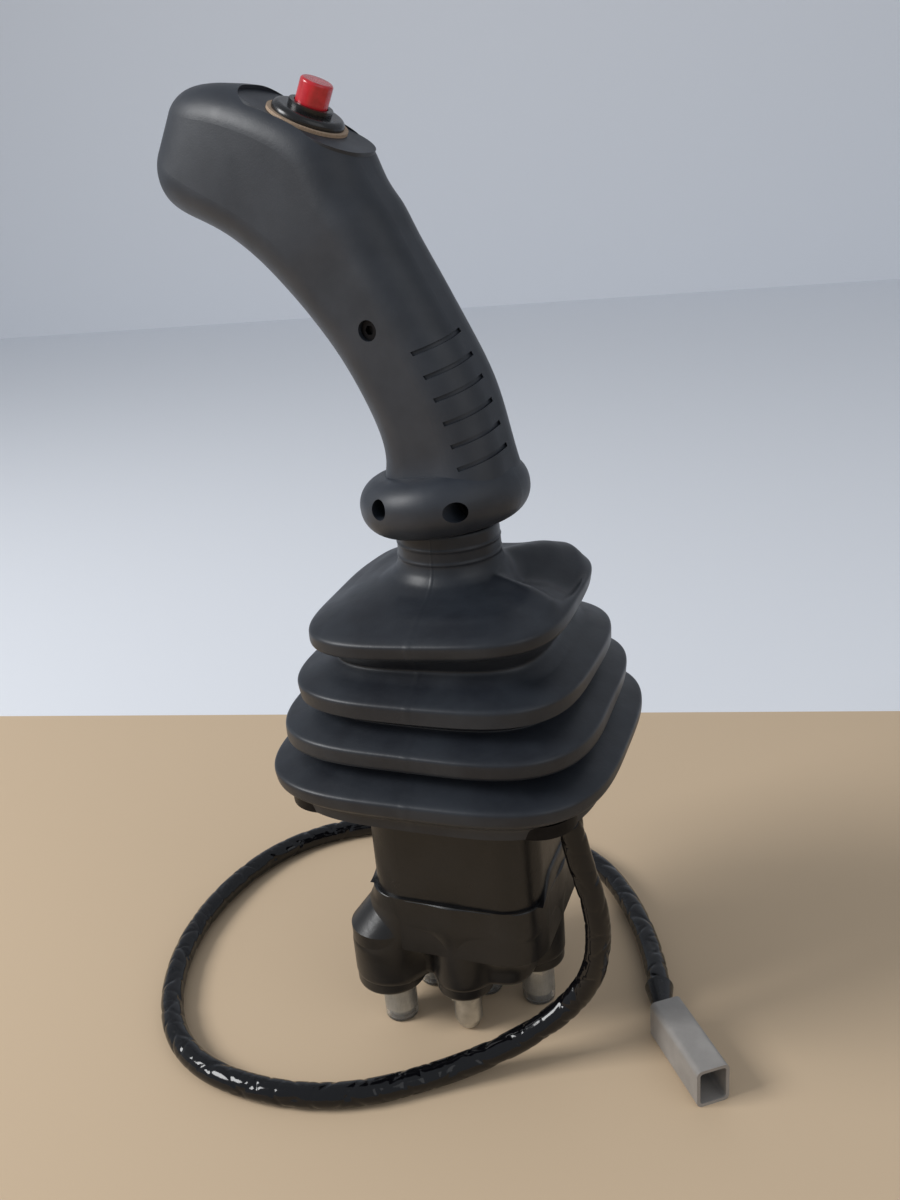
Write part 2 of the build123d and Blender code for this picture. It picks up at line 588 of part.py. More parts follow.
def grip_halves():
    """Left and right shells of the grip."""
    shell = grip_solid() + collar()
    (x0, x1), (z0, z1) = CAVITY_X, CAVITY_Z
    zone = Pos((x0 + x1) / 2, 0, (z0 + z1) / 2) * Box(x1 - x0, 2 * GRIP_WIDTH, z1 - z0)
    shell -= grip_solid(GRIP_WALL) & zone
    socket = cyl(SHAFT_D, COLLAR_Z - COLLAR_H, SHAFT_TOP_Z + END_GAP)
    shell -= socket
    boss_zone = []
    for x, z in GRIP_SCREWS:
        boss_zone.append(Pos(x, 0, z) * Rot(90, 0, 0) * Cylinder(GRIP_BOSS_D / 2, GRIP_WIDTH))
    bosses = join(boss_zone) & grip_solid(1.0)
    shell += bosses - socket
    for x, z in GRIP_SCREWS:
        y_seat = -GRIP_WIDTH / 2 + GRIP_SCREW_SINK
        sink = Cylinder(GRIP_SCREW_HEAD_D / 2 + LOOSE, GRIP_WIDTH)
        shell -= Pos(x, y_seat - GRIP_WIDTH / 2, z) * Rot(90, 0, 0) * sink
        pilot = Cylinder(GRIP_SCREW_D / 2, GRIP_SCREW_L)
        shell -= Pos(x, y_seat + GRIP_SCREW_L / 2, z) * Rot(90, 0, 0) * pilot
    top = Pos(PANEL_X, 0, PANEL_Z) * Rot(0, PANEL_LEAN, 0)
    above = extrude(RectangleRounded(PANEL_L, PANEL_W, PANEL_W / 2 - PANEL_FLAT), PANEL_W)
    shell -= top * (panel_blank() + above)
    well_l = 4 * SWITCH_NUT_H
    shell -= top * Pos(0, 0, -PANEL_T - well_l / 2) * Cylinder(SWITCH_NUT_AF / 2 + SWITCH_NUT_H, well_l)
    px, pz = HEAD_PLUG
    shell -= Pos(px, 0, pz) * Rot(0, -HEAD_LEAN, 0) * Cylinder(HEAD_PLUG_D / 2, 2 * HEAD_PLUG_DEPTH)
    reach = 2 * PANEL_Z
    shell -= rear_grooves()
    left = shell & Pos(0, -reach / 2, reach / 2) * Box(reach, reach, reach)
    right = shell & Pos(0, reach / 2, reach / 2) * Box(reach, reach, reach)
    return in_grip(left), in_grip(right)


def top_panel():
    """Panel let into the top of the grip, with the switch hole."""
    panel = panel_blank() - Pos(0, 0, -3) * Cylinder(BARREL_D / 2 + LOOSE, 12)
    return on_panel(panel)


def grip_screws():
    """Three screws across the grip."""
    screws = []
    for x, z in GRIP_SCREWS:
        screw = cap_screw(GRIP_SCREW_D, GRIP_SCREW_L, GRIP_SCREW_HEAD_D, 3.0)
        y_seat = -GRIP_WIDTH / 2 + GRIP_SCREW_SINK
        screws.append(Pos(x, y_seat, z) * Rot(90, 0, 0) * screw)
    return in_grip(Compound(screws))


def head_plug():
    """Blanking plug in the face of the head."""
    px, pz = HEAD_PLUG
    plug = Pos(0, 0, -HEAD_PLUG_SINK) * Cylinder(HEAD_PLUG_D / 2, HEAD_PLUG_T)
    return in_grip(Pos(px, 0, pz) * Rot(0, -HEAD_LEAN, 0) * plug)


# ---------------------------------------------------------------- push button
def button_cap():
    """Red button with its stem."""
    low = WASHER_T + FLANGE_H + BUSHING_H - CAP_SINK
    cap = Pos(0, 0, low + CAP_H / 2) * Cylinder(CAP_D / 2, CAP_H)
    cap = fillet(cap.edges().group_by(Axis.Z)[-1], 1.0)
    stem_l = low + STEM_REACH
    return on_panel(cap + Pos(0, 0, low - stem_l / 2) * Cylinder(STEM_D / 2, stem_l))


def button_housing():
    """Switch body: bushing, domed flange and threaded barrel."""
    top = WASHER_T + FLANGE_H + BUSHING_H
    dome = Pos(0, 0, WASHER_T + FLANGE_H / 2) * Cylinder(FLANGE_D / 2, FLANGE_H)
    dome = fillet(dome.edges().group_by(Axis.Z)[-1], FLANGE_H - 0.5)
    bushing = Pos(0, 0, WASHER_T + (top - WASHER_T) / 2) * Cylinder(BUSHING_D / 2, top - WASHER_T)
    barrel = Pos(0, 0, WASHER_T - BARREL_L / 2) * Cylinder(BARREL_D / 2, BARREL_L)
    hole_l = top + STEM_REACH + CAP_TRAVEL + STEM_ROOM
    hole = Pos(0, 0, top - hole_l / 2) * Cylinder(STEM_D / 2 + FIT, hole_l)
    recess_h = CAP_SINK + CAP_TRAVEL + SEAT
    hole += Pos(0, 0, top - recess_h / 2) * Cylinder(CAP_D / 2 + LOOSE, recess_h)
    return on_panel(dome + bushing + barrel - hole)


def button_washer():
    """Fibre washer under the flange."""
    ring = Cylinder(WASHER_D / 2, WASHER_T) - Cylinder(BARREL_D / 2, WASHER_T + 1)
    return on_panel(Pos(0, 0, WASHER_T / 2) * ring)


def button_nut():
    """Nut on the barrel inside the head."""
    nut = hex_prism(SWITCH_NUT_AF, -PANEL_T - SWITCH_NUT_H, -PANEL_T)
    return on_panel(nut - cyl(BARREL_D, -PANEL_T - SWITCH_NUT_H - 1, 0))


# ---------------------------------------------------------------- fittings and caps
def fitting(x, y):
    """Threaded adapter with a hexagon and a cone nose."""
    top = LOBE_BOTTOM_Z
    hex_low = top - FITTING_HEX_H
    tip = top - FITTING_L
    cone_h = (FITTING_THREAD_D - FITTING_NOSE_D) / 2 / tan(radians(24))
    shape = cyl(FITTING_STUD_D, top - 0.01, top + FITTING_STUD_L, x, y)
    shape += hex_prism(FITTING_AF, hex_low, top, x, y)
    shape += cyl(FITTING_THREAD_D, tip + cone_h, hex_low, x, y)
    cone = Cone(FITTING_NOSE_D / 2, FITTING_THREAD_D / 2, cone_h)
    shape += Pos(x, y, tip + cone_h / 2) * cone
    return shape - cyl(FITTING_BORE_D, tip - 1, top + FITTING_STUD_L + 1, x, y)


def dust_cap(x, y):
    """Clear push-on cap over a fitting, standing on the floor."""
    top = LOBE_BOTTOM_Z - FITTING_HEX_H
    outer = cyl(FITTING_THREAD_D + 2 * CAP_PLUG_WALL, FLOOR_Z, top, x, y)
    outer = fillet(outer.edges().group_by(Axis.Z)[0], 1.5)
    return outer - cyl(FITTING_THREAD_D, LOBE_BOTTOM_Z - FITTING_L, top + 1, x, y)


# ---------------------------------------------------------------- cable and connector
def cable_turns():
    """Fillet radius at each inner point of the cable's route."""
    radii = []
    for a, b, c in zip(CABLE_POINTS, CABLE_POINTS[1:], CABLE_POINTS[2:]):
        first, second = Vector(*b) - Vector(*a), Vector(*c) - Vector(*b)
        half_turn = radians(first.get_angle(second)) / 2
        radii.append(0.45 * min(first.length, second.length) / tan(half_turn))
    return radii


def cable_sleeve():
    """Sleeve of the cable from the grommet round the valve to the connector."""
    radii = cable_turns()
    route = FilletPolyline(*CABLE_POINTS, radius=radii)
    section = Plane(origin=route @ 0, z_dir=route % 0) * Circle(CABLE_D / 2)
    sleeve = sweep(section, path=route, transition=Transition.ROUND)
    print("cable length", round(route.length, 1), "radii", [round(r, 1) for r in radii])
    plain = pi * CABLE_D**2 / 4 * route.length
    print("cable volume over section x length", round(sleeve.volume / plain, 4))
    return sleeve


def grommet():
    """Rubber grommet in the plate round the cable."""
    x, y = GROMMET_XY
    ring = cyl(GROMMET_D - 2 * FIT, 0, PLATE_T, x, y)
    ring += cyl(GROMMET_LIP_D, PLATE_T, PLATE_T + GROMMET_LIP_T, x, y)
    tilt = Vector(*CABLE_POINTS[1]) - Vector(*CABLE_POINTS[0])
    line = Plane(origin=CABLE_POINTS[0], z_dir=tilt)
    bore = extrude(line * Circle(CABLE_D / 2 + SEAT), 20, both=True)
    return ring - bore


def end_direction():
    """Direction of the cable where it ends."""
    return (Vector(*CABLE_POINTS[-1]) - Vector(*CABLE_POINTS[-2])).normalized()


def heat_shrink():
    """Heat-shrink boot over the end of the sleeve."""
    end = Vector(*CABLE_POINTS[-1])
    start = Plane(origin=end - end_direction() * 2, z_dir=end_direction())
    tube = loft([start * Circle(SHRINK_D / 2), start.offset(SHRINK_L) * Circle(SHRINK_D / 2 - 2.5)])
    return tube - extrude(start * Circle(CABLE_D / 2 + 0.05), 2.1)


def connector_plane():
    """Rear face of the connector: x across, y up, z along the connector."""
    x, y = CONNECTOR_REAR_XY
    a = radians(CONNECTOR_YAW)
    origin = (x, y, FLOOR_Z + CONNECTOR_H / 2)
    return Plane(origin=origin, x_dir=(-sin(a), cos(a), 0), z_dir=(cos(a), sin(a), 0))


def wire_places():
    """The four contact places on the connector."""
    across, up = PIN_PITCH
    return [(x, y) for x in (-across / 2, across / 2) for y in (-up / 2, up / 2)]


def wires():
    """Four short leads between the heat-shrink and the connector."""
    rear = connector_plane()
    leads = []
    for x, y in wire_places():
        away = Vector(*CABLE_POINTS[-1]) + end_direction() * (SHRINK_L - 2 + 4 * SEAT)
        offset_in = Vector(0, 0, 1.2 if y > 0 else -1.2) + Vector(0.9, 0.3, 0) * (1 if x > 0 else -1)
        seat = rear.from_local_coords(Vector(x, y, -3 * SEAT))
        lead = Line(away + offset_in, seat)
        section = Plane(origin=lead @ 0, z_dir=lead % 0) * Circle(WIRE_D / 2)
        leads.append(sweep(section, path=lead))
    return Compound(leads)


def connector_housing():
    """Receptacle housing: open front, wall with pin holes, latch ramp."""
    rear = connector_plane()
    body = extrude(rear * RectangleRounded(CONNECTOR_W, CONNECTOR_H, 2.2), CONNECTOR_L)
    wide, tall = CONNECTOR_W - 2 * CONNECTOR_WALL, CONNECTOR_H - 2 * CONNECTOR_WALL
    room = RectangleRounded(wide, tall, CONNECTOR_WALL)
    body -= extrude(rear.offset(CONNECTOR_L * CONNECTOR_FLOOR) * room, CONNECTOR_L)
    ramp_x = (CONNECTOR_W - SEAL_T + RAMP_H) / 2
    ramp = rear.offset(CONNECTOR_L * RAMP_START) * Pos(ramp_x, 0, 0) * Rectangle(RAMP_H + SEAL_T, RAMP_W)
    body += extrude(ramp, CONNECTOR_L * RAMP_L)
    for x, y in wire_places():
        pin_hole = rear.offset(CONNECTOR_L * PIN_START - END_GAP) * Pos(x, y) * Circle(PIN_D / 2 + FIT)
        body -= extrude(pin_hole, CONNECTOR_L * PIN_START)
    return body


def connector_wedge():
    """Wedge lock in the bottom of the receptacle."""
    wide, thick, deep = WEDGE
    return extrude(connector_plane().offset(CONNECTOR_L * CONNECTOR_FLOOR) * Rectangle(wide, thick), deep)


def connector_pins():
    """Four contact pins."""
    plane = connector_plane().offset(CONNECTOR_L * PIN_START)
    length = CONNECTOR_L * CONNECTOR_FLOOR
    pins = [extrude(plane * Pos(x, y) * Circle(PIN_D / 2), length) for x, y in wire_places()]
    return Compound(pins)


# ---------------------------------------------------------------- write the sub-parts
def main():
    os.makedirs("parts", exist_ok=True)
    save(casing(), "casing")
    save(port_block(), "port_block")
    save(mounting_plate(), "mounting_plate")
    save(joint_bolts(), "joint_bolts")
    save(plate_screws(), "plate_screws")
    save(body_seal(), "body_seal")
    for side, place in STATIONS.items():
        save(guide(*place), f"guide_{side}")
        save(push_rod(*place), f"push_rod_{side}")
        save(spool(*place), f"spool_{side}")
        save(return_spring(*place), f"return_spring_{side}")
        save(metering_spring(*place), f"metering_spring_{side}")
        save(fitting(*place), f"fitting_{side}")
    save(Compound([wiper(*place) for place in STATIONS.values()]), "rod_wipers")
    save(fitting(0, 0), "fitting_tank")
    save(fitting(*SUPPLY_PORT_XY), "fitting_supply")
    capped = [STATIONS["left"], STATIONS["right"], STATIONS["rear"], (0, 0), SUPPLY_PORT_XY]
    save(Compound([dust_cap(*place) for place in capped]), "dust_caps")
    save(lower_yoke(), "lower_yoke")
    save(cross(), "cross")
    save(upper_yoke(), "upper_yoke")
    save(swash_disc(), "swash_disc")
    save(lock_nut(), "lock_nut")
    save(lever_shaft(), "lever_shaft")
    save(neck_bush(), "neck_bush")
    save(boot(), "boot")
    left, right = grip_halves()
    save(left, "grip_left")
    save(right, "grip_right")
    save(top_panel(), "top_panel")
    save(grip_screws(), "grip_screws")
    save(head_plug(), "head_plug")
    save(button_cap(), "button_cap")
    save(button_housing(), "button_housing")
    save(button_washer(), "button_washer")
    save(button_nut(), "button_nut")
    save(cable_sleeve(), "cable_sleeve")
    save(grommet(), "grommet")
    save(heat_shrink(), "heat_shrink")
    save(wires(), "wires")
    save(connector_housing(), "connector_housing")
    save(connector_wedge(), "connector_wedge")
    save(connector_pins(), "connector_pins")


main()
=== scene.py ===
import json
import math

import bpy
import numpy as np
from mathutils import Matrix, Vector


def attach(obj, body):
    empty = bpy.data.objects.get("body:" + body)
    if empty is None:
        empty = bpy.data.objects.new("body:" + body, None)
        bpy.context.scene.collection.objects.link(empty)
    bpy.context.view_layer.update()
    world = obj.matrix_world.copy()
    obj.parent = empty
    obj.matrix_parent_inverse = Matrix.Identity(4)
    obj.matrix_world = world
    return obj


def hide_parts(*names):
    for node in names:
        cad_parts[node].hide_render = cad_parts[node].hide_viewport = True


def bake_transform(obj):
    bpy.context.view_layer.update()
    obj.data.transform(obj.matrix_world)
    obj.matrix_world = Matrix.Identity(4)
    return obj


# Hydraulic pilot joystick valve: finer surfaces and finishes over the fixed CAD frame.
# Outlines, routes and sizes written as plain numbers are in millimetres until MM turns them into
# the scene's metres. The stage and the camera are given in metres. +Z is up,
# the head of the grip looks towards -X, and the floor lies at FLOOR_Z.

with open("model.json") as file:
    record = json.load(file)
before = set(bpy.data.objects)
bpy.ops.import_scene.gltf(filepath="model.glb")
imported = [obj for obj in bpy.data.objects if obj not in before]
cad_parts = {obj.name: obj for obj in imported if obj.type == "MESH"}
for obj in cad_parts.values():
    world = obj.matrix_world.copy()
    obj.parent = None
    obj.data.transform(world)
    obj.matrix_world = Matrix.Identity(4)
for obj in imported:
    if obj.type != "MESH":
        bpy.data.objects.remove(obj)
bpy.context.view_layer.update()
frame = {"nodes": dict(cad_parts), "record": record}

MM = 0.001
FLOOR_Z = -114.0 * MM


# ---------------------------------------------------------------- mesh helpers
def mesh_piece(name, points, faces, smooth=True):
    """One object at the origin from points in metres and a list of faces."""
    mesh = bpy.data.meshes.new(name)
    mesh.from_pydata(points.reshape(-1, 3).tolist(), [], faces)
    mesh.update()
    mesh.polygons.foreach_set("use_smooth", [smooth] * len(mesh.polygons))
    piece = bpy.data.objects.new(name, mesh)
    bpy.context.scene.collection.objects.link(piece)
    return piece


def grid_faces(rows, columns, wrap=True):
    """Quads between the rows of a grid. With wrap, the last column joins the first."""
    i, j = np.meshgrid(np.arange(rows - 1), np.arange(columns if wrap else columns - 1), indexing="ij")
    k = (j + 1) % columns
    low, high = i * columns, (i + 1) * columns
    quads = np.stack([low + j, low + k, high + k, high + j], -1)
    return quads.reshape(-1, 4).tolist()


def capped(points, faces):
    """Close the first and last row of a wrapped grid with a fan about its middle."""
    rows, columns = points.shape[:2]
    flat = points.reshape(-1, 3)
    low_hub, high_hub = len(flat), len(flat) + 1
    top = (rows - 1) * columns
    faces += [[low_hub, (j + 1) % columns, j] for j in range(columns)]
    faces += [[high_hub, top + j, top + (j + 1) % columns] for j in range(columns)]
    return np.vstack([flat, points[0].mean(axis=0), points[-1].mean(axis=0)]), faces


def dress(piece, slot):
    piece.data.materials.append(FINISHES[slot])


def smooth_step(x):
    """0 below 0, 1 above 1, and a smooth S between."""
    x = np.clip(x, 0.0, 1.0)
    return x * x * (3.0 - 2.0 * x)


# ---------------------------------------------------------------- finishes
def finish(name, color, roughness, metallic=0.0, **extra):
    """A principled finish and its node tree."""
    material = bpy.data.materials.new(name)
    material.use_nodes = True
    tree = material.node_tree
    shader = tree.nodes["Principled BSDF"]
    shader.inputs["Base Color"].default_value = (*color, 1.0)
    shader.inputs["Roughness"].default_value = roughness
    shader.inputs["Metallic"].default_value = metallic
    for key, value in extra.items():
        shader.inputs[key.replace("_", " ")].default_value = value
    return material, tree, shader


def noise(tree, scale, detail=4.0, roughness=0.55, stretch=None):
    """Noise read from the piece's own coordinates."""
    coords = tree.nodes.new("ShaderNodeTexCoord")
    texture = tree.nodes.new("ShaderNodeTexNoise")
    texture.inputs["Scale"].default_value = scale
    texture.inputs["Detail"].default_value = detail
    texture.inputs["Roughness"].default_value = roughness
    source = coords.outputs["Object"]
    if stretch:
        mapping = tree.nodes.new("ShaderNodeMapping")
        mapping.inputs["Scale"].default_value = stretch
        tree.links.new(source, mapping.inputs["Vector"])
        source = mapping.outputs["Vector"]
    tree.links.new(source, texture.inputs["Vector"])
    return texture.outputs["Fac"]


def ramp(tree, source, low, high, first=0.35, last=0.65):
    """Colours between two levels of a source."""
    node = tree.nodes.new("ShaderNodeValToRGB")
    node.color_ramp.elements[0].position = first
    node.color_ramp.elements[1].position = last
    node.color_ramp.elements[0].color = (*low, 1.0)
    node.color_ramp.elements[1].color = (*high, 1.0)
    tree.links.new(source, node.inputs["Fac"])
    return node.outputs["Color"]


def span(tree, source, low, high):
    """A source stretched to a range of values."""
    node = tree.nodes.new("ShaderNodeMapRange")
    node.inputs["To Min"].default_value = low
    node.inputs["To Max"].default_value = high
    tree.links.new(source, node.inputs["Value"])
    return node.outputs["Result"]


def shaded(tree, shader, source, low, high):
    """Base colour between two levels of a source."""
    tree.links.new(ramp(tree, source, low, high), shader.inputs["Base Color"])


def uneven_gloss(tree, shader, source, low, high):
    """Roughness that follows a source through a range of values."""
    tree.links.new(span(tree, source, low, high), shader.inputs["Roughness"])


def bump(tree, shader, height, distance, strength=1.0):
    """Relief from a height source, chained under any relief already there."""
    node = tree.nodes.new("ShaderNodeBump")
    node.inputs["Distance"].default_value = distance
    node.inputs["Strength"].default_value = strength
    tree.links.new(height, node.inputs["Height"])
    if shader.inputs["Normal"].links:
        tree.links.new(shader.inputs["Normal"].links[0].from_socket, node.inputs["Normal"])
    tree.links.new(node.outputs["Normal"], shader.inputs["Normal"])


def grip_plastic():
    """Blue-black moulded plastic: fine spark-eroded grain, a little wear and dust."""
    material, tree, shader = finish("grip_plastic", (0.024, 0.029, 0.038), 0.42, Specular_IOR_Level=0.45)
    shaded(tree, shader, noise(tree, 60.0, 3.0), (0.017, 0.021, 0.029), (0.026, 0.031, 0.041))
    uneven_gloss(tree, shader, noise(tree, 110.0, 5.0), 0.36, 0.54)
    bump(tree, shader, noise(tree, 2600.0, 2.0), 0.00006, 0.55)
    bump(tree, shader, noise(tree, 700.0, 3.0), 0.00006, 0.30)
    return material


def boot_rubber():
    """Black rubber: soft sheen, cloudy bloom and faint mould ripples."""
    material, tree, shader = finish("boot_rubber", (0.015, 0.018, 0.024), 0.40, Specular_IOR_Level=0.42)
    shaded(tree, shader, noise(tree, 45.0, 5.0, 0.6), (0.010, 0.012, 0.017), (0.020, 0.024, 0.031))
    uneven_gloss(tree, shader, noise(tree, 80.0, 4.0), 0.30, 0.52)
    bump(tree, shader, noise(tree, 900.0, 3.0), 0.00008, 0.35)
    bump(tree, shader, noise(tree, 70.0, 3.0), 0.0006, 0.25)
    return material


def cast_paint(name, color, roughness, coarse):
    """Semi-gloss black coat over a casting, with a low orange-peel relief."""
    material, tree, shader = finish(name, color, roughness)
    low = tuple(0.7 * c for c in color)
    high = tuple(1.5 * c for c in color)
    shaded(tree, shader, noise(tree, 50.0, 4.0), low, high)
    uneven_gloss(tree, shader, noise(tree, 130.0, 4.0), roughness - 0.08, roughness + 0.12)
    bump(tree, shader, noise(tree, coarse, 4.0), 0.0002, 0.35)
    return material


def worn_steel(name, color, roughness):
    """Machined or plated steel with fine tool marks and a little staining."""
    material, tree, shader = finish(name, color, roughness, 1.0)
    shaded(tree, shader, noise(tree, 160.0, 4.0), tuple(0.72 * c for c in color), color)
    uneven_gloss(tree, shader, noise(tree, 260.0, 4.0), roughness - 0.07, roughness + 0.15)
    bump(tree, shader, noise(tree, 500.0, 3.0, stretch=(1.0, 1.0, 12.0)), 0.00004, 0.4)
    return material


def moulded(name, color, roughness, grain=1500.0):
    """Smooth moulded plastic with a faint texture and uneven gloss."""
    material, tree, shader = finish(name, color, roughness)
    shaded(tree, shader, noise(tree, 90.0, 4.0), tuple(0.82 * c for c in color), color)
    uneven_gloss(tree, shader, noise(tree, 200.0, 4.0), roughness - 0.05, roughness + 0.10)
    bump(tree, shader, noise(tree, grain, 3.0), 0.00004, 0.4)
    return material


def fibre_sheet():
    """Tan fibre sheet with short threads."""
    material, tree, shader = finish("fibre", (0.42, 0.30, 0.20), 0.72)
    threads = noise(tree, 900.0, 5.0, 0.7, stretch=(1.0, 5.0, 1.0))
    shaded(tree, shader, threads, (0.30, 0.21, 0.14), (0.50, 0.37, 0.26))
    bump(tree, shader, threads, 0.00008, 0.6)
    return material


def clear_caps():
    """Clear moulded plastic, a little cloudy, with faint handling marks."""
    material, tree, shader = finish("clear_plastic", (0.86, 0.88, 0.89), 0.12,
                                    Transmission_Weight=0.92, IOR=1.46)
    uneven_gloss(tree, shader, noise(tree, 240.0, 5.0), 0.06, 0.26)
    bump(tree, shader, noise(tree, 380.0, 3.0), 0.00008, 0.3)
    return material


def sleeve_gloss():
    """Glossy black sleeve with a faint fine relief."""
    material, tree, shader = finish("sleeve_pvc", (0.003, 0.003, 0.004), 0.10, Specular_IOR_Level=0.42)
    uneven_gloss(tree, shader, noise(tree, 300.0, 4.0), 0.06, 0.15)
    bump(tree, shader, noise(tree, 420.0, 3.0), 0.0002, 0.20)
    return material


def red_cap():
    """Glossy red button cap with light scuffs."""
    material, tree, shader = finish("red_plastic", (0.56, 0.012, 0.022), 0.20,
                                    Coat_Weight=0.3, Coat_Roughness=0.1)
    shaded(tree, shader, noise(tree, 300.0, 4.0), (0.46, 0.008, 0.016), (0.60, 0.016, 0.028))
    uneven_gloss(tree, shader, noise(tree, 700.0, 5.0, 0.7), 0.14, 0.32)
    return material


FINISHES = {
    "grip_plastic": grip_plastic(),
    "boot_rubber": boot_rubber(),
    "casing": cast_paint("casing_coat", (0.0045, 0.0045, 0.005), 0.30, 700.0),
    "port_casting": cast_paint("port_coat", (0.006, 0.006, 0.0065), 0.32, 420.0),
    "plate_steel": worn_steel("plate_steel", (0.020, 0.020, 0.022), 0.42),
    "plain_steel": worn_steel("plain_steel", (0.56, 0.56, 0.58), 0.28),
    "zinc_steel": worn_steel("zinc_steel", (0.62, 0.63, 0.62), 0.32),
    "spring_steel": worn_steel("spring_steel", (0.36, 0.36, 0.38), 0.34),
    "seal_rubber": moulded("seal_rubber", (0.012, 0.012, 0.012), 0.55),
    "black_plastic": moulded("black_plastic", (0.010, 0.010, 0.011), 0.24),
    "red_plastic": red_cap(),
    "fibre": fibre_sheet(),
    "clear_plastic": clear_caps(),
    "sleeve_pvc": sleeve_gloss(),
    "wire_insulation": moulded("wire_insulation", (0.46, 0.14, 0.05), 0.42),
    "connector_grey": moulded("connector_grey", (0.33, 0.31, 0.29), 0.50, 900.0),
    "contact_tin": worn_steel("contact_tin", (0.75, 0.75, 0.74), 0.22),
}


def dress_frame():
    """Give every CAD node the finish of its slot in the record."""
    for row in frame["record"]["subparts"]:
        piece = frame["nodes"][row["node"]]
        piece.data.materials.clear()
        piece.data.materials.append(FINISHES[row["material_slot"]])


# ---------------------------------------------------------------- boot
# outline of the boot from the foot of the skirt up: height and half side (mm)
SKIRT_AND_FOLDS = ((0.2, 57.8), (4.6, 58.4), (8.8, 63.8), (13.9, 64.1), (19.4, 50.6), (23.6, 58.6),
                   (29.7, 58.9), (35.0, 45.6), (39.6, 53.0), (45.4, 53.3), (51.4, 39.2), (56.4, 47.2),
                   (61.4, 47.6))
CROWN_AND_NECK = ((61.4, 47.6), (63.0, 44.6), (65.4, 38.5), (68.6, 32.0), (72.2, 26.2), (76.0, 21.9),
                  (79.0, 19.8), (82.0, 18.9), (94.0, 18.4), (94.0, 16.2))
BOOT_WALL = 2.2
BOOT_COLUMNS = 288
BOOT_ROWS = (190, 250)          # of the lower and the upper length
EDGE_SOFTNESS = 2.6             # spread of the bell that rounds the outline's corners, in rows
SEAM_Z = 39.6                   # the two lengths of the boot meet here
FOLD_POWER = 3.6
PLATE_RISE = 8.5                # height that the crown's plate gains at most
PLATE_BASE = 7.0
PLATE_SLOPE_X = 0.080
PLATE_SLOPE_Y = 0.070
# low forms on the crown: height, direction from +X (radians), spread
CROWN_FORMS = ((2.6, -0.42, 0.13), (-3.4, 0.12, 0.30), (3.2, 0.80, 0.26), (1.4, 2.36, 0.26))
NECK_BANDS = (83.4, 88.2)
BAND_HEIGHT = 0.28
BAND_SPREAD = 0.5
MOULD_LINE = 0.22               # height of the mould line, and its spread in radians
MOULD_LINE_SPREAD = 0.008
SWELL = 0.45


def along(outline, count, soften):
    """An outline resampled evenly along its length and softened by a bell of this spread in points."""
    table = np.array(outline, float)
    run = np.concatenate([[0.0], np.cumsum(np.hypot(*np.diff(table, axis=0).T))])
    even = np.linspace(0.0, run[-1], count)
    table = np.column_stack([np.interp(even, run, table[:, k]) for k in (0, 1)])
    reach = int(3 * soften)
    bell = np.exp(-0.5 * (np.arange(-reach, reach + 1) / soften) ** 2)
    bell /= bell.sum()
    padded = np.pad(table, ((reach, reach), (0, 0)), mode="reflect", reflect_type="odd")
    return np.column_stack([np.convolve(padded[:, k], bell, "valid") for k in (0, 1)])


def rounded_square(angle, half, power):
    """Reach r of the rounded square |x / h|^p + |y / h|^p = 1 in each direction."""
    return half / (np.abs(np.cos(angle)) ** power + np.abs(np.sin(angle)) ** power) ** (1.0 / power)


def crown_lift(angle, z, half):
    """Height added to the crown: the plate is raised at the right and rear, with low forms on it.

    The plate rises by L tanh((b + gx x + gy y) / L), least at the near left corner. The rise
    fades in over the heights from 49 to 55 and the half sides from 18 to 38. The forms are a ridge
    from the neck to the near right edge, a hollow on the right, and a swell at each rear
    corner, as bells exp(-((turn - middle) / spread)^2) on the slope between neck and rim.
    """
    x, y = half * np.cos(angle), half * np.sin(angle)
    plate = smooth_step((z - 49.0) / 6.0) * smooth_step((half - 18.0) / 20.0)
    rise = PLATE_RISE * np.tanh((PLATE_BASE + PLATE_SLOPE_X * x + PLATE_SLOPE_Y * y) / PLATE_RISE)
    neck_side = smooth_step((half - 19.0) / 8.0)
    rim_side = smooth_step((47.6 - half) / 5.0)
    slope = smooth_step((z - 60.0) / 3.0) * neck_side * rim_side
    turn = np.mod(angle + math.pi, 2 * math.pi) - math.pi
    forms = sum(height * np.exp(-((turn - middle) / spread) ** 2) for height, middle, spread in CROWN_FORMS)
    return plate * rise + slope * forms


def boot_rows(table, columns):
    """Rounded squares stacked on the outline of height and half side.

    Their exponent falls from 3.6 at the folds to 2 at the round neck. A fine mould line runs
    down the middle of the front and rear, and two faint bands go round the neck.
    """
    angle = np.linspace(0.0, 2 * math.pi, columns, endpoint=False)[None, :]
    z, half = table[:, 0][:, None], table[:, 1][:, None]
    power = 2.0 + (FOLD_POWER - 2.0) * smooth_step((half - 20.0) / 22.0)
    line = sum(np.exp(-((angle - share * math.pi) / MOULD_LINE_SPREAD) ** 2) for share in (1.5, 0.5))
    in_folds = smooth_step((z - 8.0) / 8.0) * smooth_step((62.0 - z) / 6.0)
    swell = SWELL * np.sin(3.0 * angle + 0.16 * z) * in_folds
    band = sum(np.exp(-((z - middle) / BAND_SPREAD) ** 2) for middle in NECK_BANDS)
    radius = rounded_square(angle, half, power) + MOULD_LINE * line + swell + BAND_HEIGHT * band
    return np.stack([radius * np.cos(angle), radius * np.sin(angle), z + crown_lift(angle, z, half)], -1)


